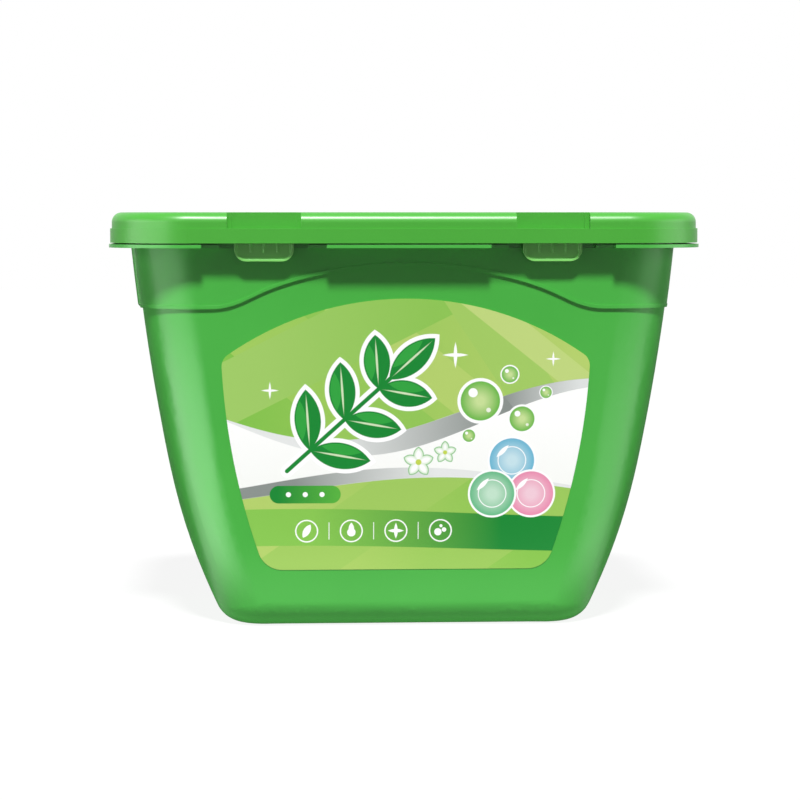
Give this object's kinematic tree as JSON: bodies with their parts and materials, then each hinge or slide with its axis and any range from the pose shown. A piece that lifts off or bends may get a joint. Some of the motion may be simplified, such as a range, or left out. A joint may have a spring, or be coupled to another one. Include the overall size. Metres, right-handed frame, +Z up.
{
  "type": "laundry pod tub",
  "caption": "Tapered plastic tub with a rear-hinged lid, two sprung press tabs at the front, a front label and soft pods laid inside.",
  "frame": {"origin": "middle of the flat base, on the surface that the tub stands on", "axes": "+X to the right seen from the label, +Y from the label to the hinge, +Z up"},
  "size_m": [0.2128, 0.1396, 0.1491],
  "materials": {
    "tub_green": "satin",
    "lid_green": "satin",
    "tab_green": "satin",
    "label_print": "gloss",
    "pod_film": "gloss"
  },
  "bodies": {
    "tub": {"tub": "tub_green", "front_label": "label_print", "pod_01": "pod_film", "pod_02": "pod_film", "pod_03": "pod_film", "pod_04": "pod_film", "pod_05": "pod_film", "pod_06": "pod_film", "pod_07": "pod_film", "pod_08": "pod_film", "pod_09": "pod_film", "pod_10": "pod_film", "pod_11": "pod_film", "pod_12": "pod_film", "pod_13": "pod_film", "pod_14": "pod_film", "pod_15": "pod_film", "pod_16": "pod_film", "pod_17": "pod_film", "pod_18": "pod_film", "pod_19": "pod_film", "pod_20": "pod_film", "pod_21": "pod_film", "pod_22": "pod_film", "pod_23": "pod_film", "pod_24": "pod_film", "pod_25": "pod_film", "pod_26": "pod_film", "pod_27": "pod_film", "pod_28": "pod_film", "pod_29": "pod_film", "pod_30": "pod_film", "pod_31": "pod_film", "pod_32": "pod_film", "pod_33": "pod_film", "pod_34": "pod_film", "pod_35": "pod_film", "pod_36": "pod_film", "pod_37": "pod_film", "pod_38": "pod_film", "pod_39": "pod_film", "pod_40": "pod_film"},
    "lid": {"lid": "lid_green"},
    "press_tab_left": {"press_tab_left": "tab_green"},
    "press_tab_right": {"press_tab_right": "tab_green"}
  },
  "joints": [
    {"name": "lid_hinge", "type": "hinge", "parent": "tub", "child": "lid", "pos_m": [0, 0.0702, 0.1372], "axis": [-1, 0, 0], "range_deg": [0, 110]},
    {"name": "press_left", "type": "hinge", "parent": "tub", "child": "press_tab_left", "pos_m": [-0.0509, -0.05815, 0.1381], "axis": [1, 0, 0], "range_deg": [0, 10], "stiffness_Nm_per_rad": 0.4},
    {"name": "press_right", "type": "hinge", "parent": "tub", "child": "press_tab_right", "pos_m": [0.0509, -0.05815, 0.1381], "axis": [1, 0, 0], "range_deg": [0, 10], "stiffness_Nm_per_rad": 0.4}
  ]
}
